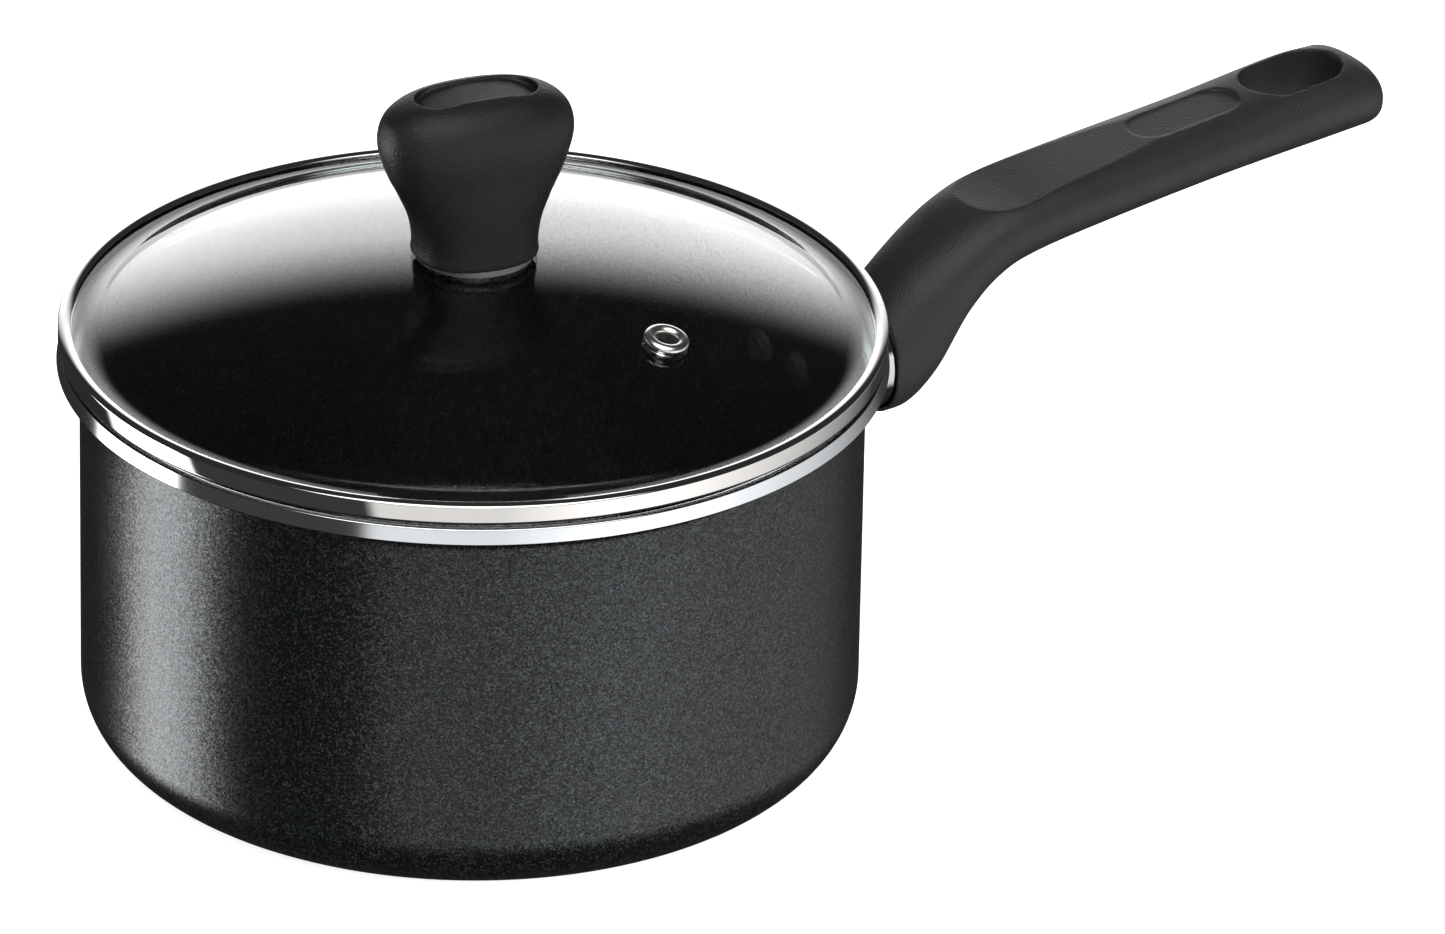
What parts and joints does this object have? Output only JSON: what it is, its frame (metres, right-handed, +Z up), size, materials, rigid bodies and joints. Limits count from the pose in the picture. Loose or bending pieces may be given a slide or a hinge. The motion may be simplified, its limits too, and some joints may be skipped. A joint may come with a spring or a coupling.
{
  "type": "saucepan with glass lid",
  "caption": "Straight-sided saucepan with a rolled-out lip, one rising moulded handle with a hanging hole, and a domed glass lid with a steel band, steam vent and flared knob.",
  "frame": {"origin": "on the pan's axis, on the plane that the base rests on", "axes": "+Z up along the pan's axis, +X along the handle, away from the pan"},
  "size_m": [0.3514, 0.1888, 0.1597],
  "materials": {
    "pan_enamel": "charcoal enamel with a fine metallic fleck outside, black non-stick inside, bare polished lip",
    "bracket_steel": "plain",
    "rivet_black": "black coated",
    "polished_steel": "mirror polished stainless steel",
    "handle_bakelite": "fine matt moulded grain",
    "zinc_steel": "zinc plated",
    "lid_glass": "clear tempered",
    "clear_gasket": "clear silicone",
    "knob_bakelite": "fine matt moulded grain",
    "insert_brass": "knurled",
    "grommet_silicone": "translucent silicone"
  },
  "bodies": {
    "pan": {"pan_body": "pan_enamel", "handle_bracket": "bracket_steel", "bracket_rivets": "rivet_black", "flame_guard": "polished_steel", "handle": "handle_bakelite", "handle_screw": "zinc_steel", "handle_lock_washer": "zinc_steel"},
    "lid_carrier": {"lid_band": "polished_steel"},
    "lid": {"lid_glass": "lid_glass", "vent_eyelet": "polished_steel", "vent_washer": "polished_steel", "knob_gasket": "clear_gasket", "lid_knob": "knob_bakelite", "knob_insert": "insert_brass", "glass_grommet": "grommet_silicone", "knob_washer": "zinc_steel", "knob_screw": "zinc_steel"}
  },
  "joints": [
    {"name": "lid_lift", "type": "slide", "parent": "pan", "child": "lid_carrier", "axis": [0, 0, 1], "range_m": [0, 0.12]},
    {"name": "lid_turn", "type": "hinge", "parent": "lid_carrier", "child": "lid", "pos_m": [0, 0, 0.1], "axis": [0, 0, 1], "continuous": true}
  ]
}
